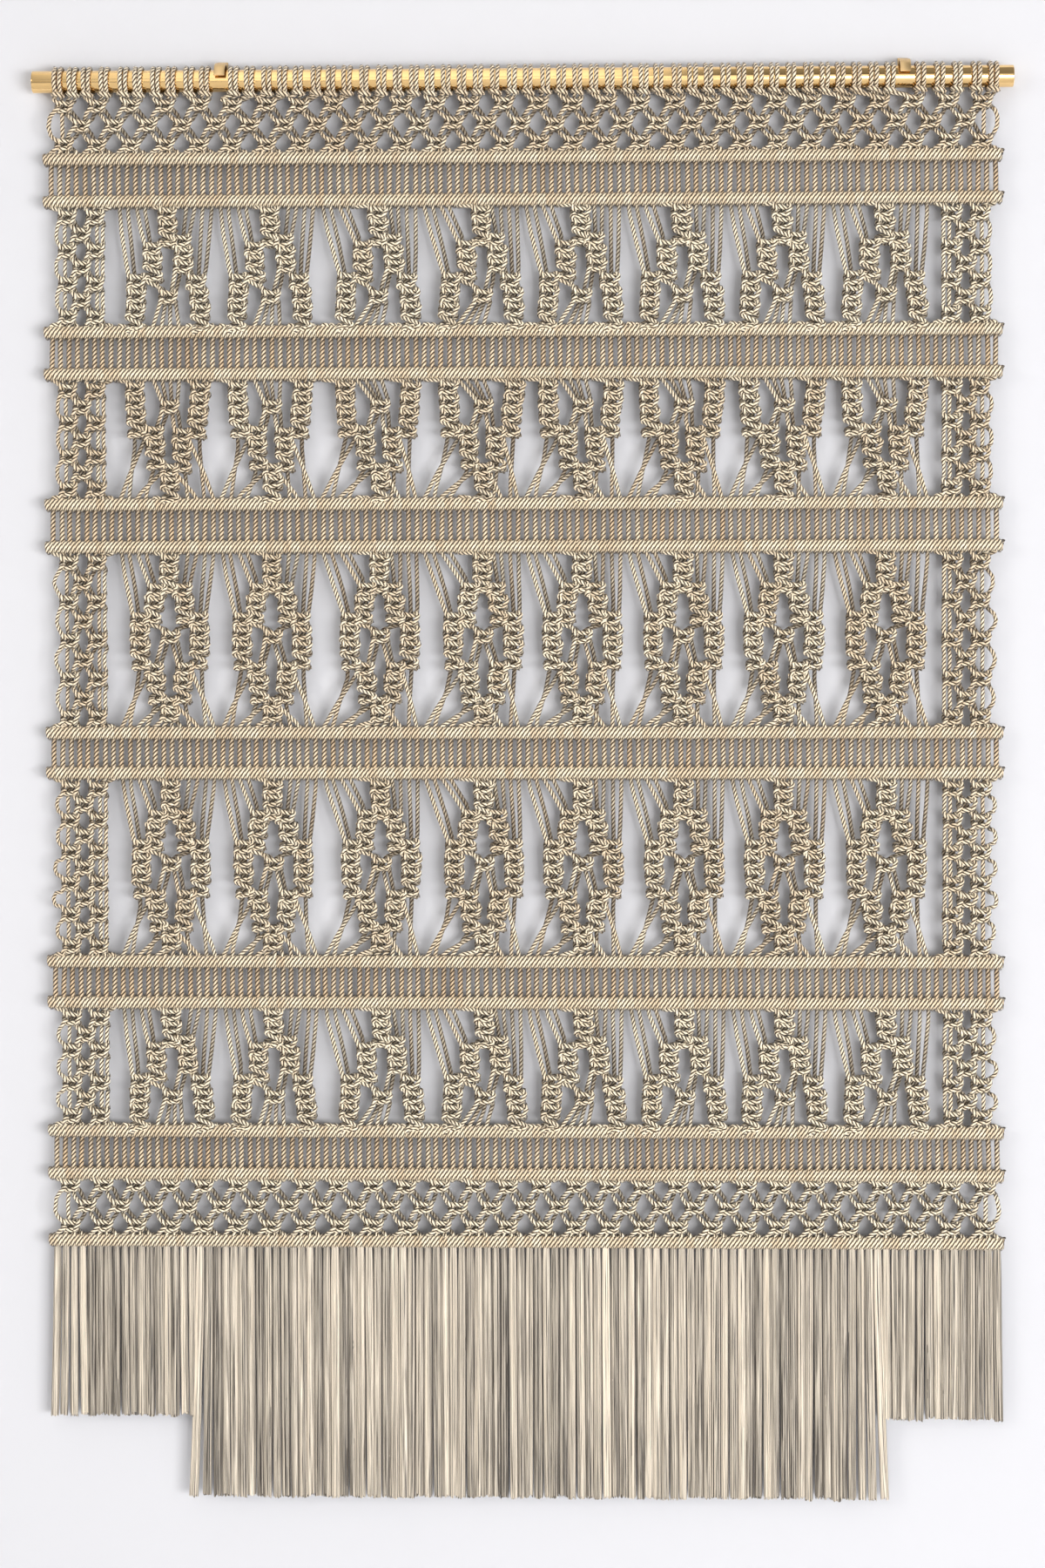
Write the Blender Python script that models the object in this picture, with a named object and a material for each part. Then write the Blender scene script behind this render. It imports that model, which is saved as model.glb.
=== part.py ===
"""Macrame wall hanging on a brass rod, with its two wall hooks.

Millimetres are turned into metres by MM. X runs along the rod, Z is up, and the
wall is the plane y = 0, with the hanging on the -Y side of it.
"""
import math
import random
from collections import namedtuple

import bmesh
import bpy
from mathutils import Vector

MM = 0.001

# Rod and the two hooks that carry it
ROD_RADIUS = 12.5 * MM
ROD_LENGTH = 1127 * MM
ROD_EDGE = 0.8 * MM
ROD_SIDES = 40
ROD_TO_WALL = 18 * MM
GAP = 0.3 * MM
LEFT_HOOK_X = -345.5 * MM
RIGHT_HOOK_X = 439.2 * MM
STRAP_WIDTH = 12.5 * MM
STRAP_THICK = 3 * MM
STRAP_TOP = 25 * MM
LIP_TOP = 4 * MM
HOOK_RADIUS = ROD_TO_WALL - STRAP_THICK
HOOK_STEPS = 14
SCREW_HEIGHT = 17.7 * MM
SCREW_HOLE_RADIUS = 2 * MM
SCREW_SHANK_RADIUS = 1.6 * MM
SCREW_HEAD_RADIUS = 3 * MM
SCREW_HEAD_RISE = 1.6 * MM
SCREW_SIDES = 16
MOUNT_HEIGHT = 8 * MM

# Net: cords knotted to each other between wrapped bars
CORDS = 112
MOTIF_CORDS = 12
CORD_WIDTH = 5 * MM
NET_HALF_WIDTH = 551.5 * MM
BAR_OVERHANG = 4.5 * MM
CORD_PITCH = 2 * (NET_HALF_WIDTH - BAR_OVERHANG) / CORDS
FOOT_SHIFT = 5 * MM
FOOT_NARROWING = 0.0054
LATTICE_HALF = 4 * MM
KNOT_HALF = 5.2 * MM
RIDGE_HALF = 7.2 * MM
BAR_RADIUS = 8.5 * MM
BAR_EIGHTH = math.radians(22.5)
BAR_LONG = BAR_RADIUS * math.cos(BAR_EIGHTH)
BAR_SHORT = BAR_RADIUS * math.sin(BAR_EIGHTH)
MOTIF_CENTRES = [x * MM for x in (-408, -289.5, -165, -46, 68, 184, 299, 416)]

# How far each bar lies below the rod's axis, and what fills the space under it
Bar = namedtuple("Bar", "drop below")
BARS = [
    Bar(89.5, "ladder"),
    Bar(138.5, "peaks"),
    Bar(289.0, "ladder"),
    Bar(337.5, "valleys"),
    Bar(487.5, "ladder"),
    Bar(536.5, "diamonds"),
    Bar(750.5, "ladder"),
    Bar(796.5, "diamonds"),
    Bar(1013.5, "ladder"),
    Bar(1060.5, "peaks"),
    Bar(1208.5, "ladder"),
    Bar(1257.5, "lattice"),
]
FRINGE_BAR_DROP = 1334.5 * MM

# Distances from a motif's middle, and shares of the height from its bar to its knot
Row = namedtuple("Row", "share edges half")
MOTIF_ROWS = {
    "bar": Row(0, (0, 36.7, 41.6, 56.3), BAR_SHORT),
    "arm": Row(0.42, (0, 13.5, 27), KNOT_HALF),
    "foot": Row(0.82, (7, 23, 35.5, 48), KNOT_HALF),
    "knot": Row(1, (0, 10), KNOT_HALF),
}
KNOT_RIDGE = 12.5 * MM
LEG_EDGES = (0, 15.5, 25, 38, 51)
KNOT_HEIGHT = 18 * MM
KNOT_SHARE = {"peaks": 0.695, "valleys": 0.305, "diamonds": 0.482}
SIDE_ROW_PITCH = 37.5 * MM
SIDE_LOOP = 6 * MM
SIDE_TUCK = 12 * MM
SIDE_INNER_WAVE = 3 * MM
LATTICE_TUCK = 6 * MM

# Loops over the rod: cord pairs in each stretch of rod that the hooks leave free
LOOP_SIDES = 8
LOOP_OUTER = 17.7 * MM
LOOP_INNER = (ROD_RADIUS + GAP) / math.cos(math.pi / LOOP_SIDES)
LOOP_FOOT_HALF = LOOP_OUTER * math.sin(math.pi / LOOP_SIDES)
LOOP_FOOT_Z = -LOOP_OUTER * math.cos(math.pi / LOOP_SIDES)
LOOP_NECK = 13 * MM
LOOP_SPACE = 4.6 * MM
LOOP_END = 541 * MM
HOOK_CLEARANCE = 2.2 * MM
LOOPS_PER_STRETCH = (5, 21, 3)

# Fringe: one lock below each cord, longer in the middle
LOCK_ROOT_HALF = 2.7 * MM
LOCK_HALF = 4.3 * MM
LOCK_DEPTH = 2.6 * MM
LOCK_END_DEPTH = 1.8 * MM
LOCK_PINCH = 14 * MM
LONG_FRINGE_DROP = 1629 * MM
SHORT_FRINGE_DROP = 1537 * MM
SHORT_LEFT = 17
SHORT_RIGHT = 14
LOCK_UNEVEN = 3.5 * MM
LOCK_FLARE = 4 * MM
LOCK_SWAY = 0.6 * MM
SWAY_SEED = 7

BRASS = (0.78, 0.55, 0.26, 1)
STEEL = (0.42, 0.38, 0.33, 1)
CORD = (0.72, 0.61, 0.46, 1)
YARN = (0.76, 0.70, 0.60, 1)


def clear_scene():
    for item in list(bpy.data.objects):
        bpy.data.objects.remove(item, do_unlink=True)


def make_material(name, colour, roughness, metallic):
    material = bpy.data.materials.new(name)
    material.use_nodes = True
    shader = material.node_tree.nodes["Principled BSDF"]
    shader.inputs["Base Color"].default_value = colour
    shader.inputs["Roughness"].default_value = roughness
    shader.inputs["Metallic"].default_value = metallic
    return material


def make_object(name, bm, material, parent):
    mesh = bpy.data.meshes.new(name)
    bmesh.ops.recalc_face_normals(bm, faces=bm.faces[:])
    bm.to_mesh(mesh)
    bm.free()
    mesh.materials.append(material)
    item = bpy.data.objects.new(name, mesh)
    item.parent = parent
    bpy.context.scene.collection.objects.link(item)
    return item


def make_rod(material, parent):
    bm = bmesh.new()
    bmesh.ops.create_cone(
        bm, cap_ends=True, segments=ROD_SIDES,
        radius1=ROD_RADIUS, radius2=ROD_RADIUS, depth=ROD_LENGTH,
    )
    rims = [e for e in bm.edges if abs(e.verts[0].co.z - e.verts[1].co.z) < ROD_EDGE]
    bmesh.ops.bevel(bm, geom=rims, offset=ROD_EDGE, segments=1, affect="EDGES")
    rod = make_object("rod", bm, material, parent)
    rod.rotation_euler.y = math.pi / 2
    rod.location.y = -ROD_TO_WALL
    rod.data.shade_smooth()
    rod.data.set_sharp_from_angle(angle=math.radians(30))
    return rod


def hook_outline():
    """The strap's edge in YZ: down the wall, round under the rod and up to the lip."""
    centre_z = HOOK_RADIUS - ROD_RADIUS - GAP
    turns = [math.pi * step / HOOK_STEPS for step in range(HOOK_STEPS + 1)]

    def bend(radius, angle):
        return (-ROD_TO_WALL + radius * math.cos(angle), centre_z - radius * math.sin(angle))

    outer = [bend(ROD_TO_WALL, angle) for angle in turns]
    inner = [bend(HOOK_RADIUS, angle) for angle in reversed(turns)]
    lip = [(-2 * ROD_TO_WALL, LIP_TOP), (-2 * ROD_TO_WALL + STRAP_THICK, LIP_TOP)]
    return [(0, STRAP_TOP)] + outer + lip + inner + [(-STRAP_THICK, STRAP_TOP)]


def make_hook(name, x, material, parent):
    bm = bmesh.new()
    left = -STRAP_WIDTH / 2
    edge = bm.faces.new([bm.verts.new((left, y, z)) for y, z in hook_outline()])
    grown = bmesh.ops.extrude_face_region(bm, geom=[edge])
    moved = [v for v in grown["geom"] if isinstance(v, bmesh.types.BMVert)]
    bmesh.ops.translate(bm, verts=moved, vec=(STRAP_WIDTH, 0, 0))
    hook = make_object(name, bm, material, parent)
    hook.location.x = x

    drill_mesh = bmesh.new()
    bmesh.ops.create_cone(
        drill_mesh, cap_ends=True, segments=SCREW_SIDES,
        radius1=SCREW_HOLE_RADIUS, radius2=SCREW_HOLE_RADIUS, depth=STRAP_THICK * 3,
    )
    drill = make_object(name + "_drill", drill_mesh, material, parent)
    drill.rotation_euler.x = math.pi / 2
    drill.location = (x, -STRAP_THICK / 2, SCREW_HEIGHT)
    drill.hide_render = True
    drill.display_type = "WIRE"
    hole = hook.modifiers.new("screw hole", "BOOLEAN")
    hole.operation = "DIFFERENCE"
    hole.object = drill
    return hook


def make_screw(name, x, material, parent):
    """A pan head in front of the strap, on a shank that ends at the wall."""
    seat = STRAP_THICK + GAP
    profile = [
        (0, 0),
        (SCREW_SHANK_RADIUS, 0),
        (SCREW_SHANK_RADIUS, seat),
        (SCREW_HEAD_RADIUS, seat),
        (SCREW_HEAD_RADIUS * 0.9, seat + SCREW_HEAD_RISE * 0.6),
        (SCREW_HEAD_RADIUS * 0.55, seat + SCREW_HEAD_RISE),
        (0, seat + SCREW_HEAD_RISE),
    ]
    bm = bmesh.new()
    points = [bm.verts.new((radius, 0, height)) for radius, height in profile]
    edges = [bm.edges.new(pair) for pair in zip(points, points[1:])]
    bmesh.ops.spin(
        bm, geom=points + edges, cent=(0, 0, 0), axis=(0, 0, 1),
        angle=2 * math.pi, steps=SCREW_SIDES, use_merge=True,
    )
    bmesh.ops.remove_doubles(bm, verts=bm.verts[:], dist=0.01 * MM)
    screw = make_object(name, bm, material, parent)
    screw.rotation_euler.x = math.pi / 2
    screw.location = (x, 0, SCREW_HEIGHT)
    screw.data.shade_smooth()
    screw.data.set_sharp_from_angle(angle=math.radians(40))
    return screw


class Sheet:
    """Faces laid out in XZ, each point with half the depth that the cloth has there."""

    def __init__(self):
        self.bm = bmesh.new()
        self.points = {}

    def point(self, x, z, half):
        key = (round(x / MM, 3), round(z / MM, 3))
        if key not in self.points:
            self.points[key] = self.bm.verts.new((x, -half, z))
        return self.points[key]

    def face(self, *points):
        loop = [p for n, p in enumerate(points) if p is not points[n - 1]]
        self.bm.faces.new(loop)

    def strips(self, upper, lower):
        """A row of four-sided faces between two equally long rows of points."""
        for n in range(len(upper) - 1):
            self.face(upper[n], upper[n + 1], lower[n + 1], lower[n])

    def panel(self, upper, lower):
        """One flat face between two rows of points that may differ in number."""
        self.face(*upper, *reversed(lower))

    def thicken(self):
        """Gives the faces their backs and sides."""
        grown = bmesh.ops.extrude_face_region(self.bm, geom=self.bm.faces[:])
        for item in grown["geom"]:
            if isinstance(item, bmesh.types.BMVert):
                item.co.y = -item.co.y


def hang(x, z):
    """Where a point x from the middle of the rod hangs at height z."""
    share = -z / FRINGE_BAR_DROP
    return x * (1 - FOOT_NARROWING * share) + FOOT_SHIFT * share


def place(sheet, xs, z, half):
    return [sheet.point(hang(x, z), z, half) for x in xs]


def mirrored(edges):
    """The same distances to the left and to the right, once where they are 0."""
    left = [-e * MM for e in reversed(edges)]
    right = [e * MM for e in edges if e > 0]
    return left + right


def side_edges(side):
    """Distances of a side column's outer and inner edge from the middle, at a bar."""
    motif_half = (MOTIF_CORDS + 1) / 2 * CORD_PITCH + CORD_WIDTH
    nearest = abs(MOTIF_CENTRES[0 if side < 0 else -1])
    return NET_HALF_WIDTH - BAR_OVERHANG, nearest + motif_half


def leg_points(sheet, centre, z, half):
    return place(sheet, [centre + e for e in mirrored(LEG_EDGES)], z, half)


def bar_points(sheet, centre, z):
    row = MOTIF_ROWS["bar"]
    return place(sheet, [centre + e for e in mirrored(row.edges)], z, row.half)


def add_arms(sheet, centre, bar_z, knot_z):
    """Cords from a bar into the middle plait, two slanting plaits and the knot."""
    rows = {}
    for name, row in MOTIF_ROWS.items():
        z = bar_z + (knot_z - bar_z) * row.share
        xs = [centre + e for e in mirrored(row.edges)]
        rows[name] = place(sheet, xs, z, row.half)
    bar, arm, foot, knot = (rows[n] for n in ("bar", "arm", "foot", "knot"))
    sheet.face(bar[0], bar[1], foot[1], foot[0])
    sheet.face(bar[2], bar[3], arm[2], arm[1], arm[0])
    sheet.face(bar[3], bar[4], arm[4], arm[3], arm[2])
    sheet.face(bar[5], bar[6], foot[7], foot[6])
    sheet.strips(arm[0:3], foot[1:4])
    sheet.strips(arm[2:5], foot[4:7])
    sheet.face(foot[2], foot[3], knot[1], knot[0])
    sheet.face(foot[4], foot[5], knot[2], knot[1])
    return foot, knot


def add_knot(sheet, centre, upper, lower, middle_z):
    """A square knot, with a ridge across its middle."""
    ridge = place(sheet, [centre - KNOT_RIDGE, centre, centre + KNOT_RIDGE], middle_z, RIDGE_HALF)
    sheet.strips(upper, ridge)
    sheet.strips(ridge, lower)


def add_legs(sheet, foot, knot, legs):
    """Outer plaits and the knot's four cords down to a bar."""
    sheet.strips(foot[0:3], legs[0:3])
    sheet.strips(foot[5:8], legs[6:9])
    sheet.strips(knot, legs[3:6])


def add_motif(sheet, kind, centre, top, bottom):
    """Fills the height between two bars, and returns the points on each of them."""
    knot_z = top + (bottom - top) * KNOT_SHARE[kind]
    knot_xs = [centre + e for e in mirrored(MOTIF_ROWS["knot"].edges)]
    if kind == "peaks":
        foot, knot = add_arms(sheet, centre, top, knot_z)
        lower_z = knot_z - KNOT_HEIGHT
        lower = place(sheet, knot_xs, lower_z, KNOT_HALF)
        legs = leg_points(sheet, centre, bottom, BAR_SHORT)
        add_knot(sheet, centre, knot, lower, (knot_z + lower_z) / 2)
        add_legs(sheet, foot, lower, legs)
        return bar_points(sheet, centre, top), legs
    if kind == "valleys":
        foot, knot = add_arms(sheet, centre, bottom, knot_z)
        upper_z = knot_z + KNOT_HEIGHT
        upper = place(sheet, knot_xs, upper_z, KNOT_HALF)
        legs = leg_points(sheet, centre, top, BAR_SHORT)
        add_knot(sheet, centre, knot, upper, (knot_z + upper_z) / 2)
        add_legs(sheet, foot, upper, legs)
        return legs, bar_points(sheet, centre, bottom)
    upper_z = knot_z + KNOT_HEIGHT / 2
    lower_z = knot_z - KNOT_HEIGHT / 2
    high_foot, high_knot = add_arms(sheet, centre, top, upper_z)
    low_foot, low_knot = add_arms(sheet, centre, bottom, lower_z)
    add_knot(sheet, centre, high_knot, low_knot, knot_z)
    sheet.strips(high_foot[0:3], low_foot[0:3])
    sheet.strips(high_foot[5:8], low_foot[5:8])
    return bar_points(sheet, centre, top), bar_points(sheet, centre, bottom)


def add_side(sheet, side, top, bottom):
    """A side column of knots with its outer cords in loops, between two bars."""
    outer, inner = side_edges(side)
    loops = round((top - bottom) / SIDE_ROW_PITCH)
    rows = []
    for n in range(2 * loops + 1):
        z = top + (bottom - top) * n / (2 * loops)
        at_bar = n in (0, 2 * loops)
        tuck = SIDE_LOOP if n % 2 else SIDE_TUCK
        wave = SIDE_INNER_WAVE if n % 2 else 0
        xs = sorted((side * (outer - tuck), side * (inner - wave)))
        rows.append(place(sheet, xs, z, BAR_SHORT if at_bar else KNOT_HALF))
    for upper, lower in zip(rows, rows[1:]):
        sheet.strips(upper, lower)
    return rows[0], rows[-1]


def add_band(sheet, kind, top, bottom):
    """Motifs and side columns; returns the points on the upper and the lower bar."""
    left = add_side(sheet, -1, top, bottom)
    motifs = [add_motif(sheet, kind, centre, top, bottom) for centre in MOTIF_CENTRES]
    right = add_side(sheet, 1, top, bottom)
    parts = [left] + motifs + [right]
    upper = [p for part in parts for p in part[0]]
    lower = [p for part in parts for p in part[1]]
    return upper, lower


def ends(sheet, z, half, inset=0.0):
    reach = NET_HALF_WIDTH - inset
    return place(sheet, [-reach, reach], z, half)


def with_ends(sheet, points, z, half):
    """The points of a row with the bar's own two ends added."""
    first, last = ends(sheet, z, half)
    return [first] + points + [last]


def add_bar(sheet, drop, upper, lower):
    """An eight-sided bar between its upper and its lower row of points."""
    crown = [ends(sheet, -drop + z, BAR_LONG) for z in (BAR_SHORT, -BAR_SHORT)]
    sheet.panel(with_ends(sheet, upper, -drop + BAR_LONG, BAR_SHORT), crown[0])
    sheet.panel(crown[0], crown[1])
    sheet.panel(crown[1], with_ends(sheet, lower, -drop - BAR_LONG, BAR_SHORT))


def loop_edges():
    """Left and right edge of each loop, in the three stretches beside the hooks."""
    reach = STRAP_WIDTH / 2 + HOOK_CLEARANCE
    stretches = [
        (-LOOP_END, LEFT_HOOK_X - reach),
        (LEFT_HOOK_X + reach, RIGHT_HOOK_X - reach),
        (RIGHT_HOOK_X + reach, LOOP_END),
    ]
    edges = []
    for (start, end), count in zip(stretches, LOOPS_PER_STRETCH):
        width = (end - start - LOOP_SPACE * (count - 1)) / count
        for n in range(count):
            left = start + n * (width + LOOP_SPACE)
            edges.append((left, left + width))
    return edges


def ring(bm, x, radius):
    """Points round the rod at x, the first two of them at the bottom."""
    step = 2 * math.pi / LOOP_SIDES
    angles = [-math.pi / 2 + step * (n - 0.5) for n in range(LOOP_SIDES)]
    return [bm.verts.new((x, radius * math.cos(a), radius * math.sin(a))) for a in angles]


def add_loops(sheet):
    """Loops of cord over the rod, each grown from the net's upper edge."""
    bm = sheet.bm
    top = [v for v in bm.verts if abs(v.co.z - LOOP_FOOT_Z) < GAP]
    for left, right in loop_edges():
        outer = []
        inner = []
        for x in (left, right):
            rim = ring(bm, x, LOOP_OUTER)
            hung = hang(x, LOOP_FOOT_Z)
            foot = sorted((v for v in top if abs(v.co.x - hung) < GAP), key=lambda v: v.co.y)
            bmesh.ops.delete(bm, geom=rim[0:2], context="VERTS")
            outer.append(foot + rim[2:])
            inner.append(ring(bm, x, LOOP_INNER))
        seat = [f for f in bm.faces if all(v in outer[0][:2] + outer[1][:2] for v in f.verts)]
        bmesh.ops.delete(bm, geom=seat, context="FACES_ONLY")
        for n in range(LOOP_SIDES):
            m = (n + 1) % LOOP_SIDES
            bm.faces.new((inner[0][n], inner[0][m], inner[1][m], inner[1][n]))
            for rim, bore in zip(outer, inner):
                bm.faces.new((rim[n], rim[m], bore[m], bore[n]))
            if n:
                bm.faces.new((outer[0][n], outer[0][m], outer[1][m], outer[1][n]))


def make_net(material, parent):
    sheet = Sheet()
    heads = [x for pair in loop_edges() for x in pair]
    head = place(sheet, heads, LOOP_FOOT_Z, LOOP_FOOT_HALF)
    drops = [bar.drop * MM for bar in BARS]

    # Lattice between the loops and the first bar
    neck = ends(sheet, LOOP_FOOT_Z - LOOP_NECK, LATTICE_HALF, LATTICE_TUCK)
    sheet.panel(head, neck)
    upper = ends(sheet, -drops[0] + BAR_LONG, BAR_SHORT, BAR_OVERHANG)
    sheet.panel(neck, upper)

    # Each bar and what hangs below it
    for n, bar in enumerate(BARS):
        top = -drops[n] - BAR_LONG
        if bar.below == "lattice":
            bottom = -FRINGE_BAR_DROP + BAR_LONG + GAP
            lower = ends(sheet, top, BAR_SHORT, BAR_OVERHANG)
            middle = ends(sheet, (top + bottom) / 2, LATTICE_HALF, LATTICE_TUCK)
            foot = ends(sheet, bottom, BAR_SHORT, BAR_OVERHANG)
            sheet.panel(lower, middle)
            sheet.panel(middle, foot)
        elif bar.below == "ladder":
            bottom = -drops[n + 1] + BAR_LONG
            lower = ends(sheet, top, BAR_SHORT, BAR_OVERHANG)
            foot = ends(sheet, bottom, BAR_SHORT, BAR_OVERHANG)
            sheet.panel(lower, foot)
        else:
            lower, foot = add_band(sheet, bar.below, top, -drops[n + 1] + BAR_LONG)
        add_bar(sheet, drops[n], upper, lower)
        upper = foot

    sheet.thicken()
    add_loops(sheet)
    net = make_object("net", sheet.bm, material, parent)
    net.location.y = -ROD_TO_WALL
    return net


def make_fringe(material, parent):
    """The lowest bar with a lock of unlaid yarn under each cord."""
    sheet = Sheet()
    sway = random.Random(SWAY_SEED)
    root_z = -FRINGE_BAR_DROP - BAR_LONG
    roots = []
    for n in range(CORDS):
        x = (n - (CORDS - 1) / 2) * CORD_PITCH
        short = n < SHORT_LEFT or n >= CORDS - SHORT_RIGHT
        drop = SHORT_FRINGE_DROP if short else LONG_FRINGE_DROP
        end_z = -drop + sway.uniform(-LOCK_UNEVEN, LOCK_UNEVEN)
        lean = LOCK_FLARE * x / NET_HALF_WIDTH + sway.uniform(-LOCK_SWAY, LOCK_SWAY)
        root = place(sheet, [x - LOCK_ROOT_HALF, x + LOCK_ROOT_HALF], root_z, BAR_SHORT)
        pinch_z = root_z - LOCK_PINCH
        body = place(sheet, [x - LOCK_HALF, x + LOCK_HALF], pinch_z, LOCK_DEPTH)
        tip = place(sheet, [x + lean - LOCK_HALF, x + lean + LOCK_HALF], end_z, LOCK_END_DEPTH)
        sheet.strips(root, body)
        sheet.strips(body, tip)
        roots += root
    add_bar(sheet, FRINGE_BAR_DROP, [], roots)
    sheet.thicken()
    fringe = make_object("fringe", sheet.bm, material, parent)
    fringe.location.y = -ROD_TO_WALL
    return fringe


def main():
    clear_scene()
    brass = make_material("brass", BRASS, 0.28, 1)
    steel = make_material("screw steel", STEEL, 0.45, 1)
    cord = make_material("cord", CORD, 0.65, 0)
    yarn = make_material("yarn", YARN, 0.75, 0)
    hanging = bpy.data.objects.new("hanging", None)
    hanging.location = Vector((-LEFT_HOOK_X, 0, -MOUNT_HEIGHT))
    bpy.context.scene.collection.objects.link(hanging)
    make_rod(brass, hanging)
    make_hook("left_hook", LEFT_HOOK_X, brass, hanging)
    make_hook("right_hook", RIGHT_HOOK_X, brass, hanging)
    make_screw("left_screw", LEFT_HOOK_X, steel, hanging)
    make_screw("right_screw", RIGHT_HOOK_X, steel, hanging)
    make_net(cord, hanging)
    make_fringe(yarn, hanging)


main()
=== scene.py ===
import math
import random

import bpy
import numpy as np
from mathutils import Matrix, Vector


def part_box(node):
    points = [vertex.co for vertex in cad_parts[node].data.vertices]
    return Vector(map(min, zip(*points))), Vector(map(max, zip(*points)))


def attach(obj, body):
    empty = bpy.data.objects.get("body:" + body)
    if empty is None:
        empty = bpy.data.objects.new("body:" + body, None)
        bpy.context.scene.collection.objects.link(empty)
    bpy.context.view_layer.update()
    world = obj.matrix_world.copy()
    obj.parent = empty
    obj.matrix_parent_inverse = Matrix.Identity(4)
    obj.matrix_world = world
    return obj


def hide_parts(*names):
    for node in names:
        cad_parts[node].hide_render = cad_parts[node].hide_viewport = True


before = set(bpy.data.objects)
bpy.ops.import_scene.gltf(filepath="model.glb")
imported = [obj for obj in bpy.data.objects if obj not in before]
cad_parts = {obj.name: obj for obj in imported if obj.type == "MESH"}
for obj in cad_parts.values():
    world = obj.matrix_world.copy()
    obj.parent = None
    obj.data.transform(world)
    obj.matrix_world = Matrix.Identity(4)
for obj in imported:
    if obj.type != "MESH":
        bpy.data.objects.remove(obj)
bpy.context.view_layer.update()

mm = 0.001
chance = random.Random(11)


def jitter(size):
    return chance.uniform(-size, size)


# places on the hanging: millimetres from the rod's middle, then metres in the frame

hanging = {
    "rodMiddle": 345.5,      # rod's middle, along the rod from the left hook
    "rodDepth": -18.0,       # rod's axis in front of the wall
    "rodHeight": -8.0,       # rod's axis against the left hook's point
    "cords": 112,
    "cordPitch": 9.77,
    "netHalf": 547.0,        # first and last cord's outer side
    "drawIn": 0.0054,        # how much narrower the net is at the lowest bar
    "drift": 5.0,            # how far the lowest bar hangs to the right
    "netDrop": 1334.5,
    "motifMiddles": (-408.0, -289.5, -165.0, -46.0, 68.0, 184.0, 299.0, 416.0),
}


def place(points):
    share = -points[:, 2] / hanging["netDrop"]
    across = points[:, 0] * (1 - hanging["drawIn"] * share) + hanging["drift"] * share
    return np.column_stack((across + hanging["rodMiddle"],
                            points[:, 1] + hanging["rodDepth"],
                            points[:, 2] + hanging["rodHeight"])) * mm


def cordX(cord):
    return (cord + 0.5) * hanging["cordPitch"] - hanging["netHalf"]


# many cords, wraps or locks joined in one mesh
class CordMesh:
    def __init__(self):
        self.points, self.faces, self.uvs, self.tones, self.count = [], [], [], [], 0

    def add(self, points, faces, uvs, tones):
        self.points.append(points)
        self.faces.append(faces + self.count)
        self.uvs.append(uvs.reshape(-1, 2))
        self.tones.append(tones)
        self.count += len(points)

    def finish(self, name, material, slotName, *nodes):
        corners = np.concatenate(self.faces)
        mesh = bpy.data.meshes.new(name)
        mesh.vertices.add(self.count)
        mesh.vertices.foreach_set("co", np.concatenate(self.points).astype(np.float32).ravel())
        mesh.loops.add(len(corners) * 4)
        mesh.loops.foreach_set("vertex_index", corners.astype(np.int32).ravel())
        mesh.polygons.add(len(corners))
        mesh.polygons.foreach_set("loop_start", np.arange(0, len(corners) * 4, 4, dtype=np.int32))
        mesh.update(calc_edges=True)
        mesh.polygons.foreach_set("use_smooth", np.ones(len(corners), bool))
        layer = mesh.uv_layers.new(name="alongCord")
        layer.data.foreach_set("uv", np.concatenate(self.uvs).astype(np.float32).ravel())
        tone = mesh.attributes.new("tone", "FLOAT", "POINT")
        tone.data.foreach_set("value", np.concatenate(self.tones).astype(np.float32))
        mesh.materials.append(material)
        piece = bpy.data.objects.new(name, mesh)
        bpy.context.scene.collection.objects.link(piece)
        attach(piece, "root")
        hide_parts(*nodes)
        print(name, len(corners) * 2, "triangles")


def smoothLine(points, steps):
    # a smooth curve through all points, with this many steps from each to the next
    p = np.asarray(points, float)
    p = np.vstack((2 * p[0] - p[1], p, 2 * p[-1] - p[-2]))
    a, b, c, d = (q[:, None, :] for q in (p[:-3], p[1:-2], p[2:-1], p[3:]))

    def gap(u, v):
        return np.sqrt(np.linalg.norm((v - u)[..., :3], axis=2, keepdims=True)) + 1e-4

    ta = gap(a, b)
    tb = ta + gap(b, c)
    tc = tb + gap(c, d)
    t = ta + (tb - ta) * (np.arange(steps) / steps)[None, :, None]
    ab = a + (b - a) * (t / ta)
    bc = b + (c - b) * ((t - ta) / (tb - ta))
    cd = c + (d - c) * ((t - tb) / (tc - tb))
    left = ab + (bc - ab) * (t / tb)
    right = bc + (cd - bc) * ((t - ta) / (tc - ta))
    line = (left + (right - left) * ((t - ta) / (tb - ta))).reshape(-1, p.shape[1])
    return np.vstack((line, p[-2]))


def thinLine(line, turn, reach):
    # leaves out points until the line has bent by the turn or gone the reach
    steps = np.diff(line[:, :3], axis=0)
    lengths = np.linalg.norm(steps, axis=1)
    ways = steps / np.maximum(lengths, 1e-9)[:, None]
    bends = np.arccos(np.clip((ways[1:] * ways[:-1]).sum(1), -1, 1))
    kept, bent, gone = [0], 0.0, 0.0
    for at in range(1, len(line) - 1):
        bent += bends[at - 1]
        gone += lengths[at - 1]
        if bent > turn or gone > reach:
            kept.append(at)
            bent, gone = 0.0, 0.0
    return line[kept + [len(line) - 1]]


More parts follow.
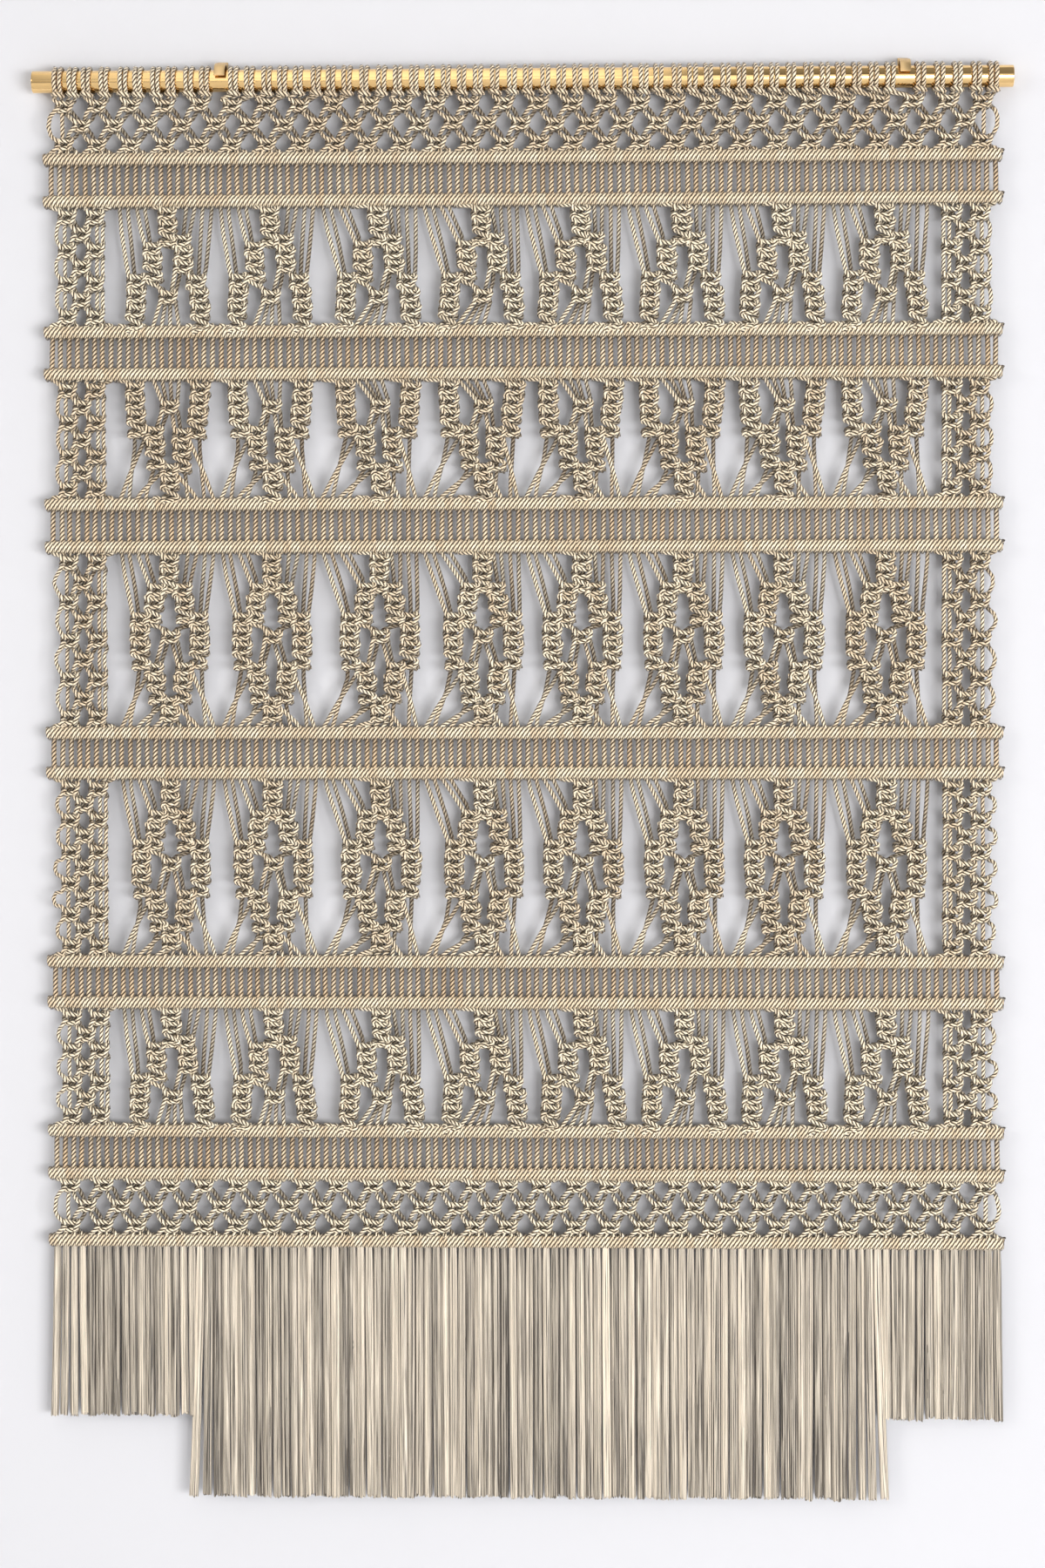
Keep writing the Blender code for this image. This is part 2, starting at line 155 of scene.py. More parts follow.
def tubeFaces(runs, sides, stretch):
    # quads between rings of points, with their places along and around the cord
    ring = np.arange(sides)
    after = (ring + 1) % sides
    low = (np.arange(len(runs) - 1) * sides)[:, None]
    faces = np.stack((low + ring, low + after, low + sides + after, low + sides + ring), axis=2)
    u0, u1 = runs[:-1, None].repeat(sides, 1), runs[1:, None].repeat(sides, 1)
    v0 = (ring * stretch)[None, :].repeat(len(runs) - 1, 0)
    v1 = v0 + stretch
    uvs = np.stack((np.stack((u0, v0), 2), np.stack((u0, v1), 2),
                    np.stack((u1, v1), 2), np.stack((u1, v0), 2)), axis=2)
    return faces.reshape(-1, 4), uvs.reshape(-1, 4, 2)


def sweepCord(cordMesh, line, sides, tone):
    # line has x, y, z and radius in millimetres
    spots = place(line)
    ways = np.gradient(spots, axis=0)
    across = Vector((0, -1, 0))
    rings, run = [], 0.0
    runs = []
    turns = np.arange(sides) * (2 * math.pi / sides)
    cosines, sines = np.cos(turns), np.sin(turns)
    for at, spot in enumerate(spots):
        way = Vector(ways[at]).normalized()
        across = across - way * across.dot(way)
        if across.length < 1e-4:
            across = way.orthogonal()
        across.normalize()
        other = way.cross(across)
        radius = line[at, 3] * mm
        rings.append(spot + radius * (cosines[:, None] * np.array(across)
                                      + sines[:, None] * np.array(other)))
        if at:
            run += float(np.linalg.norm(spot - spots[at - 1]))
        runs.append(run / mm)
    faces, uvs = tubeFaces(np.array(runs), sides, 1 / sides)
    count = len(spots)
    if sides == 6:      # only a bar's core shows its ends
        last = (count - 1) * sides
        caps = np.array([[3, 2, 1, 0], [5, 4, 3, 0],
                         [last, last + 1, last + 2, last + 3], [last, last + 3, last + 4, last + 5]])
        faces = np.vstack((faces, caps))
        uvs = np.concatenate((uvs, np.zeros((4, 4, 2))))
    cordMesh.add(np.concatenate(rings), faces, uvs, np.full(count * sides, tone))


cordValues = {
    "sides": 5,
    "steps": 5,
    "turn": 31.0,            # degrees that a cord may bend from ring to ring
    "reach": 30.0,           # millimetres that it may run from ring to ring
    "tones": (0.35, 0.8),    # from the darkest to the lightest cord
}


def addCords(cordMesh, strands, steps=cordValues["steps"], turn=cordValues["turn"],
             tones=cordValues["tones"]):
    for strand in strands:
        if len(strand) > 1:
            line = thinLine(smoothLine(strand, steps), math.radians(turn), cordValues["reach"])
            sweepCord(cordMesh, line, cordValues["sides"], chance.uniform(*tones))


# shader nodes as Python expressions
class Wire:
    def __init__(self, shader, socket):
        self.shader, self.socket = shader, socket

    def sum(self, operation, first, second=None):
        inputs = {0: first} if second is None else {0: first, 1: second}
        return self.shader.node("ShaderNodeMath", {"operation": operation}, inputs)

    def __add__(self, other):
        return self.sum("ADD", self, other)

    def __radd__(self, other):
        return self.sum("ADD", other, self)

    def __sub__(self, other):
        return self.sum("SUBTRACT", self, other)

    def __rsub__(self, other):
        return self.sum("SUBTRACT", other, self)

    def __mul__(self, other):
        return self.sum("MULTIPLY", self, other)

    def __rmul__(self, other):
        return self.sum("MULTIPLY", other, self)

    def __abs__(self):
        return self.sum("ABSOLUTE", self)


class Shader:
    def __init__(self, holder):
        self.holder = holder
        holder.use_nodes = True
        self.tree = holder.node_tree
        self.tree.nodes.clear()

    def node(self, kind, settings, inputs, output=0):
        made = self.tree.nodes.new(kind)
        for setting, value in settings.items():
            if setting == "stops":
                while len(made.color_ramp.elements) < len(value):
                    made.color_ramp.elements.new(0.5)
                for stop, (position, colour) in zip(made.color_ramp.elements, value):
                    stop.position, stop.color = position, (*colour, 1)
            else:
                setattr(made, setting, value)
        for socket, value in inputs.items():
            if isinstance(value, Wire):
                self.tree.links.new(value.socket, made.inputs[socket])
            elif isinstance(value, tuple) and len(value) == 3 and made.inputs[socket].type == "RGBA":
                made.inputs[socket].default_value = (*value, 1)
            else:
                made.inputs[socket].default_value = value
        return Wire(self, made.outputs[output])

    def mix(self, share, first, second):
        return self.node("ShaderNodeMix", {"data_type": "RGBA", "clamp_factor": True},
                         {0: share, 6: first, 7: second}, 2)

    def step(self, value, low, high, least=0.0):
        return self.node("ShaderNodeMapRange", {"interpolation_type": "SMOOTHSTEP"},
                         {"Value": value, "From Min": low, "From Max": high, "To Min": least})

    def noise(self, spot, scale, detail, roughness=0.5):
        return self.node("ShaderNodeTexNoise", {},
                         {"Vector": spot, "Scale": scale, "Detail": detail, "Roughness": roughness})

    def spot(self, x, y, z=0.0):
        return self.node("ShaderNodeCombineXYZ", {}, {0: x, 1: y, 2: z})

    def finish(self, inputs):
        return self.end(self.node("ShaderNodeBsdfPrincipled", {}, inputs))

    def end(self, body, kind="ShaderNodeOutputMaterial"):
        self.tree.links.new(body.socket, self.tree.nodes.new(kind).inputs["Surface"])
        return self.holder


def paintedDepthShade(shader, colour, values):
    # painted shade: darkens the colour of what lies between the net's or the fringe's two faces, deep in
    # knots and locks where shade falls
    spot = shader.node("ShaderNodeTexCoord", {}, {}, 3)
    middle = (hanging["rodDepth"] + values["middle"]) * mm
    depth = abs(shader.node("ShaderNodeSeparateXYZ", {}, {0: spot}, 1) - middle)
    return shader.mix(shader.step(depth, *values["reach"], values["shown"]), values["deep"], colour)


def cordPlaces(shader):
    # millimetres along the cord, share of a turn around it, and the cord's tone
    uv = shader.node("ShaderNodeUVMap", {"uv_map": "alongCord"}, {})
    along = shader.node("ShaderNodeSeparateXYZ", {}, {0: uv}, 0)
    around = shader.node("ShaderNodeSeparateXYZ", {}, {0: uv}, 1)
    return along, around, shader.node("ShaderNodeAttribute", {"attribute_name": "tone"}, {}, 2)


cordFinish = {
    "plies": 3.0,
    "lay": 15.2,                       # millimetres of cord for one turn of a ply
    "light": (1.0, 0.895, 0.685),
    "dark": (0.68, 0.475, 0.275),
    # painted shade: the plies' flanks darker and the grooves between them darkest, so the crests are the
    # lightest
    "flankShade": (0.19, 0.11, 0.045),
    "grooveShade": (0.012, 0.008, 0.005),
    "flankRise": (0.12, 0.5),          # where on a ply's round the painted shade of the groove turns to that of the flank
    "crestRise": (0.38, 0.9),          # and the flank's painted shade to the crest
    "byFibre": 0.6,                    # how much fibres, patches and the cord's tone lighten it
    "byPatch": 0.25,
    "byTone": 0.9,
    "darker": 0.26,
    "fibreGrain": (7.0, 0.16, 90.0),   # noise across the plies, along the cord and from cord to cord
    "patchGrain": (0.03, 60.0),        # along the cord and from cord to cord
    "deep": (0.05, 0.032, 0.018),      # painted shade: the colour given to the cord well inside the net, away from both faces
    "middle": -0.8,                    # where that is, millimetres from the rod's axis
    "reach": (0.0014, 0.0060),         # metres from there to the full colour
    "shown": 0.24,                     # how much of the cord's own colour is left there
    "roughness": 0.3,
    "sheen": 0.25,
    "sheenRoughness": 0.4,
    "ridgeShare": 0.85,                # plies' part in the bump, the fibres have the rest
    "depth": 0.0016,
}


def makeCordMaterial(name, values):
    shader = Shader(bpy.data.materials.new(name))
    along, around, tone = cordPlaces(shader)
    turn = (around - along * (1 / values["lay"])) * values["plies"]
    ridge = abs((turn * math.pi).sum("SINE", turn * math.pi))
    across, length, apart = values["fibreGrain"]
    fibre = shader.noise(shader.spot(turn * across, along * length, tone * apart), 1.0, 2.0)
    length, apart = values["patchGrain"]
    patch = shader.noise(shader.spot(along * length, tone * apart), 1.0, 1.0)
    share = fibre * values["byFibre"] + patch * values["byPatch"] + tone * values["byTone"] - values["darker"]
    body = shader.mix(share, values["dark"], values["light"])
    # painted shade across each ply's round, from the crest's body colour through the flank to the groove
    side = shader.mix(shader.step(ridge, *values["flankRise"]), values["grooveShade"], values["flankShade"])
    colour = paintedDepthShade(shader, shader.mix(shader.step(ridge, *values["crestRise"]), side, body), values)
    height = ridge * values["ridgeShare"] + fibre * (1 - values["ridgeShare"])
    bump = shader.node("ShaderNodeBump", {}, {"Height": height, "Strength": 1.0, "Distance": values["depth"]})
    return shader.finish({"Base Color": colour, "Roughness": values["roughness"], "Normal": bump,
                          "Sheen Weight": values["sheen"], "Sheen Roughness": values["sheenRoughness"]})


yarnFinish = {
    "light": (1.0, 0.89, 0.73),
    # near black: the dark streaks are partly the yarn's own darker hairs and partly painted shade between the
    # hairs
    "dark": (0.03, 0.022, 0.015),
    "byHair": 2.7,                     # how much the streaks and the thread's tone lighten it
    "byTone": 1.1,
    "darker": 1.46,
    "hairGrain": (6.0, 0.011, 90.0),   # noise around and along a thread and from thread to thread
    # painted shade for the yarn well inside a lock, away from its faces, as for the cords
    "deep": (0.05, 0.037, 0.026),
    "middle": -2.0,
    "reach": (0.0003, 0.0024),
    "shown": 0.45,
    "roughness": 0.45,
    "sheen": 0.2,
    "sheenRoughness": 0.4,
    "depth": 0.0004,
}


def makeYarnMaterial(name, values):
    shader = Shader(bpy.data.materials.new(name))
    along, around, tone = cordPlaces(shader)
    across, length, apart = values["hairGrain"]
    hair = shader.noise(shader.spot(around * across, along * length, tone * apart), 1.0, 3.0)
    share = hair * values["byHair"] + tone * values["byTone"] - values["darker"]
    colour = paintedDepthShade(shader, shader.mix(share, values["dark"], values["light"]), values)
    bump = shader.node("ShaderNodeBump", {}, {"Height": hair, "Strength": 0.8, "Distance": values["depth"]})
    return shader.finish({"Base Color": colour, "Roughness": values["roughness"], "Normal": bump,
                          "Sheen Weight": values["sheen"], "Sheen Roughness": values["sheenRoughness"]})


# the grain is the drawing and brushing marks' noise along each axis
metalFinish = {
    "rod": {"bright": (1.0, 0.71, 0.34), "dull": (0.90, 0.58, 0.24), "smooth": 0.05, "worn": 0.13,
            "grain": (9.0, 900.0, 900.0)},
    "hook": {"bright": (0.83, 0.60, 0.31), "dull": (0.62, 0.42, 0.20), "smooth": 0.26, "worn": 0.42,
             "grain": (700.0, 60.0, 60.0)},
    "screw": {"bright": (0.42, 0.36, 0.28), "dull": (0.22, 0.18, 0.13), "smooth": 0.3, "worn": 0.5,
              "grain": (300.0, 300.0, 300.0)},
}


def makeMetalMaterial(name, values):
    shader = Shader(bpy.data.materials.new(name))
    spot = shader.node("ShaderNodeTexCoord", {}, {}, 3)
    drawn = shader.node("ShaderNodeMapping", {}, {"Vector": spot, "Scale": values["grain"]})
    scratch = shader.noise(drawn, 1.0, 4.0, 0.6)
    cloud = shader.noise(spot, 38.0, 3.0)
    colour = shader.mix(cloud * 0.5 + scratch * 0.45, values["bright"], values["dull"])
    rough = values["smooth"] + (values["worn"] - values["smooth"]) * (scratch * 0.5 + cloud * 0.5)
    bump = shader.node("ShaderNodeBump", {}, {"Height": scratch, "Strength": 0.12, "Distance": 0.0002})
    return shader.finish({"Base Color": colour, "Metallic": 1.0, "Roughness": rough, "Normal": bump})


cordMaterial = makeCordMaterial("twistedCord", cordFinish)
yarnMaterial = makeYarnMaterial("combedYarn", yarnFinish)
rodBrass = makeMetalMaterial("rodBrass", metalFinish["rod"])
hookBrass = makeMetalMaterial("hookBrass", metalFinish["hook"])
screwSteel = makeMetalMaterial("screwMetal", metalFinish["screw"])
print("materials made")


def clearSelection():
    if bpy.context.object and bpy.context.object.mode != "OBJECT":
        bpy.ops.object.mode_set(mode="OBJECT")
    bpy.ops.object.select_all(action="DESELECT")


def pickFaces(piece, wanted):
    # picks the faces whose normal passes the test, in a piece whose turn is applied
    bpy.ops.mesh.select_all(action="DESELECT")
    bpy.ops.object.mode_set(mode="OBJECT")
    for face in piece.data.polygons:
        face.select = bool(wanted(face.normal))
    bpy.ops.object.mode_set(mode="EDIT")


def moveFaces(x, y, z):
    bpy.ops.mesh.extrude_region_move(TRANSFORM_OT_translate={"value": (x, y, z)})


def settle(piece, name, material, node, smoothAngle):
    bpy.ops.object.mode_set(mode="OBJECT")
    bpy.ops.object.transform_apply(location=True, rotation=True, scale=True)
    for modifier in list(piece.modifiers):
        bpy.ops.object.modifier_apply(modifier=modifier.name)
    bpy.ops.object.shade_smooth_by_angle(angle=math.radians(smoothAngle))
    piece.name = piece.data.name = name
    piece.data.materials.clear()
    piece.data.materials.append(material)
    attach(piece, "root")
    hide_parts(node)
    print(name, "made")


rodValues = {"radius": 12.5, "length": 1127.0, "endRound": 1.0, "sides": 96}


def makeRod(values):
    low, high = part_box("rod")
    middle = (Vector(low) + Vector(high)) / 2
    clearSelection()
    bpy.ops.mesh.primitive_cylinder_add(vertices=values["sides"], radius=values["radius"] * mm,
                                        depth=values["length"] * mm, location=middle,
                                        rotation=(0, math.pi / 2, 0))
    rod = bpy.context.object
    bpy.ops.object.transform_apply(location=True, rotation=True, scale=True)
    bpy.ops.object.mode_set(mode="EDIT")
    bpy.ops.mesh.select_mode(type="FACE")
    pickFaces(rod, lambda normal: abs(normal.x) > 0.9)
    bpy.ops.mesh.bevel(offset=values["endRound"] * mm, segments=4, affect="EDGES")
    settle(rod, "brassRod", rodBrass, "rod", 30)


makeRod(rodValues)

hookValues = {
    "width": 12.5,
    "thick": 3.0,
    "outer": 18.0,           # the bend's outer radius
    "roundUp": 2.2,          # how far the bend's middle lies above the rod's axis
    "lipTop": 4.0,
    "spinSteps": 28,
    "edgeRound": 0.7,
}


def makeHook(values, name, node):
    low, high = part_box(node)
    x = (low[0] + high[0]) / 2
    turnZ = (hanging["rodHeight"] + values["roundUp"]) * mm
    depth = values["thick"] * mm
    clearSelection()
    bpy.ops.mesh.primitive_plane_add(size=1, location=(x, -depth / 2, high[2]))
    hook = bpy.context.object
    hook.scale = (values["width"] * mm, depth, 1)
    bpy.ops.object.transform_apply(location=True, rotation=True, scale=True)
    bpy.ops.object.mode_set(mode="EDIT")
    bpy.ops.mesh.select_mode(type="FACE")
    bpy.ops.mesh.select_all(action="SELECT")
    moveFaces(0, 0, turnZ - high[2])
    # known fault: this bends over the rod, and angle=math.pi bends under it as the solid does
    bpy.ops.mesh.spin(steps=values["spinSteps"], angle=-math.pi, center=(x, -values["outer"] * mm, turnZ),
                      axis=(1, 0, 0))
    moveFaces(0, 0, (values["lipTop"] - values["roundUp"]) * mm)
    bpy.ops.mesh.select_all(action="SELECT")
    bpy.ops.mesh.remove_doubles(threshold=0.00001)
    bpy.ops.mesh.normals_make_consistent(inside=False)
    edgeRound = hook.modifiers.new("edgeRound", "BEVEL")
    edgeRound.width, edgeRound.segments, edgeRound.limit_method = values["edgeRound"] * mm, 3, "ANGLE"
    edgeRound.angle_limit = math.radians(50)
    settle(hook, name, hookBrass, node, 40)


screwValues = {
    "sides": 32,
    "dome": 0.5,
    "rim": 0.36,             # round the socket, as a share of the head's radius
    "socketDepth": 0.9,
    "neck": 1.6,             # the shank's radius
}


def makeScrew(values, name, node):
    low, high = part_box(node)
    x, z = (low[0] + high[0]) / 2, (low[2] + high[2]) / 2
    radius = (high[2] - low[2]) / 2
    headBack = -hookValues["thick"] * mm
    clearSelection()
    bpy.ops.mesh.primitive_cylinder_add(vertices=values["sides"], radius=radius, depth=headBack - low[1],
                                        location=(x, (low[1] + headBack) / 2, z),
                                        rotation=(math.pi / 2, 0, 0))
    screw = bpy.context.object
    bpy.ops.object.transform_apply(location=True, rotation=True, scale=True)
    bpy.ops.object.mode_set(mode="EDIT")
    bpy.ops.mesh.select_mode(type="FACE")
    pickFaces(screw, lambda normal: normal.y < -0.9)
    bpy.ops.mesh.bevel(offset=values["dome"] * mm, segments=3, affect="EDGES")
    pickFaces(screw, lambda normal: normal.y < -0.99)
    bpy.ops.mesh.inset(thickness=radius * values["rim"])
    moveFaces(0, values["socketDepth"] * mm, 0)
    pickFaces(screw, lambda normal: normal.y > 0.99)
    bpy.ops.mesh.inset(thickness=radius - values["neck"] * mm)
    moveFaces(0, -headBack, 0)
    settle(screw, name, screwSteel, node, 35)


makeHook(hookValues, "leftHook", "left_hook")
makeHook(hookValues, "rightHook", "right_hook")
makeScrew(screwValues, "leftScrew", "left_screw")
makeScrew(screwValues, "rightScrew", "right_screw")


knotValues = {
    "radius": 2.65,
    "uneven": 0.2,
    # across and depth in millimetres, height as a share of the knot's: the cord that crosses in front,
    # the cord that crosses behind and shows at both sides, and the two cords inside
    "front": ((9.2, -1.4, 0.50), (8.6, -2.6, 0.34), (5.6, -4.8, 0.22), (1.0, -6.0, 0.27),
              (-4.0, -5.2, 0.36), (-7.4, -3.0, 0.36), (-9.2, -1.0, 0.22), (-9.6, -0.4, 0.00),
              (-9.0, -1.2, -0.22), (-7.2, -3.0, -0.36), (-4.0, -5.0, -0.37), (1.0, -6.3, -0.32),
              (5.0, -5.2, -0.23), (8.0, -3.0, -0.20), (9.4, -1.4, -0.34), (9.2, -1.2, -0.50)),
    "back": ((-8.9, -6.6, 0.50), (-7.9, -7.6, 0.34), (-6.2, -6.2, 0.20), (-5.8, -1.5, 0.14),
             (-3.4, 3.8, 0.14), (3.2, 4.6, 0.24), (6.6, 2.2, 0.36), (6.6, -2.8, 0.44), (9.0, -6.8, 0.40),
             (10.6, -7.6, 0.24), (9.6, -8.0, 0.02), (7.4, -8.2, -0.20), (6.0, -5.6, -0.34),
             (6.0, -0.5, -0.40), (3.2, 4.2, -0.40), (-3.2, 4.6, -0.34), (-6.2, 2.2, -0.24),
             (-5.8, -2.6, -0.14), (-6.8, -6.4, -0.16), (-8.8, -7.4, -0.34), (-8.9, -6.6, -0.50)),
    "inner": ((0.0, 0.0, 0.42), (0.0, 0.0, -0.42)),
    "innerApart": 2.4,       # inner cords from the knot's middle
    "halfFrom": 0.05,        # a half knot has only what lies below this height
    "spreadFrom": 0.3,       # from this height up and down, the cords of a lattice spread
    "shift": (0.5, 0.4),     # unevenness of a knot's place, width and lean
    "broad": 0.04,
    "lean": 0.06,
}


def tieKnot(strands, cords, x, z, height, width=1.0, spread=0.0, half=False):
    # cords from left to right; the strands hang down from above
    values = knotValues
    left, innerLeft, innerRight, right = cords
    x, z = x + jitter(values["shift"][0]), z + jitter(values["shift"][1])
    width *= 1 + jitter(values["broad"])
    lean = jitter(values["lean"])
    c, s = math.cos(lean), math.sin(lean)

    def lay(strand, points, side=0.0):
        for across, depth, up in points:
            if not half or up < values["halfFrom"]:
                wider = max(0.0, abs(up) - values["spreadFrom"]) / (0.5 - values["spreadFrom"])
                a = across * width * (1 + spread * wider) + side
                u = up * height
                strand.append((x + a * c + u * s + jitter(values["uneven"]), depth + jitter(values["uneven"]),
                               z + u * c - a * s + jitter(values["uneven"]), values["radius"]))

    lay(strands[left], values["back"])
    lay(strands[right], values["front"])
    lay(strands[innerLeft], values["inner"], -values["innerApart"])
    lay(strands[innerRight], values["inner"], values["innerApart"])
    if half:
        strands[left], strands[right] = strands[right], strands[left]


barValues = {
    "drops": (89.5, 138.5, 289.0, 337.5, 487.5, 536.5, 750.5, 796.5, 1013.5, 1060.5, 1208.5, 1257.5),
    "wraps": 224,
    "steps": 8,              # rings of points for one wrap
    "plies": 8,              # a wrap holds eight plies and shows two, so the plies run on from wrap to wrap
    "radius": 7.1,
    "thick": 1.5,
    "broad": 1.26,           # a wrap's half width against half the pitch, and how much less it is below
    "narrower": 0.4,
    "overhang": 4.5,
    "endDip": (1.3, 1.6),    # how far the end wraps lie nearer the core, and how soon the others don't
    "core": (7.0, 1.2),      # the core's radius, and how far in from the wraps it ends
    "lean": 0.5,             # how far a wrap leans over the front, millimetres each way
    "uneven": 0.25,
    "teeth": 1.1,            # how far single wraps hang lower than others
    "tones": (0.36, 0.90),
    "coreTone": 0.2,
    # depth and height against the bar's middle where a cord leaves a bar or enters it
    "leave": ((-1.0, -2.0), (-3.0, -7.6)),
    "enter": ((-4.4, 7.4), (-3.0, 2.0)),
    "endUneven": (0.4, 0.5),
    "cordRadius": 2.5,
}


def addBar(cordMesh, drop, values):
    half = hanging["netHalf"] + values["overhang"]
    steps, wraps, thick = values["steps"], values["wraps"], values["thick"]
    pitch = (2 * half - 2 * thick) / wraps
    count = wraps * steps + 1
    turn = np.arange(count) / steps
    angle = turn * 2 * math.pi
    noise = np.random.default_rng(int(drop * 10))
    shift = noise.uniform(-1, 1, wraps + 2)
    bulge = noise.uniform(-1, 1, wraps + 2)
    tooth = noise.uniform(0, 1, wraps + 2) + 0.5 * (np.arange(wraps + 2) % 2)
    tones = np.repeat(noise.uniform(*values["tones"], wraps // 2 + 2), 2)
    wrap = turn.astype(int)
    part = turn - wrap

    def eased(levels):
        return levels[wrap] * (1 - part) + levels[wrap + 1] * part

    dip, quick = values["endDip"]
    fromEnd = np.minimum(turn, wraps - turn)
    radius = values["radius"] + values["uneven"] * 0.5 * eased(bulge) - dip * np.exp(-fromEnd * quick)
    low = np.clip(-np.cos(angle), 0, 1) ** 3
    x = -half + thick + pitch * turn + values["lean"] * np.cos(angle) + values["uneven"] * eased(shift)
    radial = np.column_stack((np.zeros(count), -np.sin(angle), np.cos(angle)))
    centre = np.column_stack((x, np.zeros(count), np.full(count, -drop))) + radial * radius[:, None]
    centre[:, 2] -= low * values["teeth"] * eased(tooth)
    way = np.gradient(centre, axis=0)
    way /= np.linalg.norm(way, axis=1)[:, None]
    side = np.cross(radial, way)
    side /= np.linalg.norm(side, axis=1)[:, None]
    # each ring is a half round of five points, open towards the core
    corners = np.radians((0, 45, 90, 135, 180))
    wide = pitch / 2 * (values["broad"] - values["narrower"] * low)
    ring = (centre[:, None, :] + side[:, None, :] * (np.cos(corners)[None, :] * wide[:, None])[..., None]
            + radial[:, None, :] * (np.sin(corners) * thick)[None, :, None])
    sides = len(corners)
    runs = turn * cordFinish["lay"] / cordFinish["plies"] * values["plies"]
    faces, uvs = tubeFaces(runs, sides, 1 / (sides + 1))
    cordMesh.add(place(ring.reshape(-1, 3)), faces, uvs, np.repeat(tones[wrap], sides))
    coreRadius, inset = values["core"]
    ends = ((inset - half, 0, -drop, coreRadius), (half - inset, 0, -drop, coreRadius))
    sweepCord(cordMesh, np.array(ends), 6, values["coreTone"])


def makeBars(values):
    drops = values["drops"]
    for name, some, node in (("upperBars", drops[:6], "net"), ("lowerBars", drops[6:], "net"),
                             ("fringeBar", (hanging["netDrop"],), "fringe")):
        bars = CordMesh()
        for drop in some:
            addBar(bars, drop, values)
        bars.finish(name, cordMaterial, "cord", node)


makeBars(barValues)


def leaveBar(strand, x, drop, radius=barValues["cordRadius"]):
    (hiddenDepth, hiddenUp), (depth, up) = barValues["leave"]
    aside, apart = barValues["endUneven"]
    strand.append((x, hiddenDepth, hiddenUp - drop, radius))
    strand.append((x + jitter(aside), depth, up - drop + jitter(apart), radius))


def enterBar(strand, x, drop, radius=barValues["cordRadius"]):
    (depth, up), (hiddenDepth, hiddenUp) = barValues["enter"]
    strand.append((x + jitter(barValues["endUneven"][0]), depth, up - drop, radius))
    strand.append((x, hiddenDepth, hiddenUp - drop, radius))


ladderValues = {
    "radius": 3.15,
    "uneven": 0.7,           # how far a cord's ends lie from their places, its middle and its depth
    "middleUneven": 0.35,
    "depthUneven": 0.5,
    "front": -3.4,
    "steps": 4,
    "turn": 30.0,
    # darker than the other cords: painted shade for the ladder cords between the bars
    "tones": (0.05, 0.5),
}


def makeLadders(values):
    ladders = CordMesh()
    drops = barValues["drops"]
    for upper, lower in zip(drops[0::2], drops[1::2]):
        strands = []
        for cord in range(hanging["cords"]):
            x = cordX(cord)
            top, foot = x + jitter(values["uneven"]), x + jitter(values["uneven"])
            strand = []
            leaveBar(strand, top, upper, values["radius"])
            strand.append(((top + foot) / 2 + jitter(values["middleUneven"]),
                           values["front"] + jitter(values["depthUneven"]),
                           -(upper + lower) / 2, values["radius"]))
            enterBar(strand, foot, lower, values["radius"])
            strands.append(strand)
        addCords(ladders, strands, values["steps"], values["turn"], values["tones"])
    ladders.finish("ladderCords", cordMaterial, "cord", "net")


makeLadders(ladderValues)


loopValues = {
    "radius": 2.65,
    "over": 15.2,            # cord's middle round the rod's axis
    # across, depth, height, height more to each side, and radius of the bight in front of the rod
    "bight": ((0.0, -11.4, -16.4, 0.0, 2.9), (2.6, -11.2, -16.5, -0.7, 2.9),
              (5.0, -9.0, -16.5, -1.3, 2.726), (6.2, -3.0, -16.2, -0.8, 2.65)),
    "behind": (5.6, 6.0, -14.6),
    "round": (-30, 5, 40, 75, 110, 145, 175),    # degrees at which the cord goes over the rod
    "apart": 3.0,            # from the loop's middle to its cords, and more behind the rod
    "wider": 1.2,
    # across, depth, height and radius of what comes down through the bight
    "down": ((0.0, -14.6, -6.0, 2.65), (-0.3, -9.4, -12.6, 2.544)),
    "foot": (-4.6, -17.4, 2.438),
    "uneven": (1.3, 0.8, 0.3),                   # of a loop's place, its height and its cords' places
    "turn": 26.0,
    "leftOfHook": (-533.3, -516.3, -500.2, -479.5, -457.6, -440.6, -419.9, -402.4, -381.7, -363.6),
    "between": (-330.1, 422.0, 41),              # first loop, last loop and how many
    "rightOfHook": (458.0, 541.0, 5),
}


def loopRow(values, name):
    first, last, count = values[name]
    return [first + (last - first) * at / (count - 1) + jitter(values["uneven"][0]) for at in range(count)]


def makeLoops(values, strands):
    over, radius = values["over"], values["radius"]
    start, span = values["round"][0], values["round"][-1] - values["round"][0]
    places = list(values["leftOfHook"]) + loopRow(values, "between") + loopRow(values, "rightOfHook")
    for loop, x in enumerate(places):
        drop = jitter(values["uneven"][1])
        for side, cord in ((-1, loop * 2), (1, loop * 2 + 1)):
            near = x + side * values["apart"] + jitter(values["uneven"][2])
            strand = strands[cord]
            for across, depth, up, more, thick in values["bight"]:
                strand.append((x + side * across, depth, up + drop + side * more, thick))
            across, depth, up = values["behind"]
            strand.append((x + side * across, depth, up, radius))
            for degrees in values["round"]:
                angle = math.radians(degrees)
                wider = side * values["wider"] * (1 - (degrees - start) / span)
                strand.append((near + wider, math.cos(angle) * over, math.sin(angle) * over, radius))
            for across, depth, up, thick in values["down"]:
                strand.append((near + side * across, depth, up, thick))
            depth, up, thick = values["foot"]
            strand.append((near, depth, up + drop, thick))


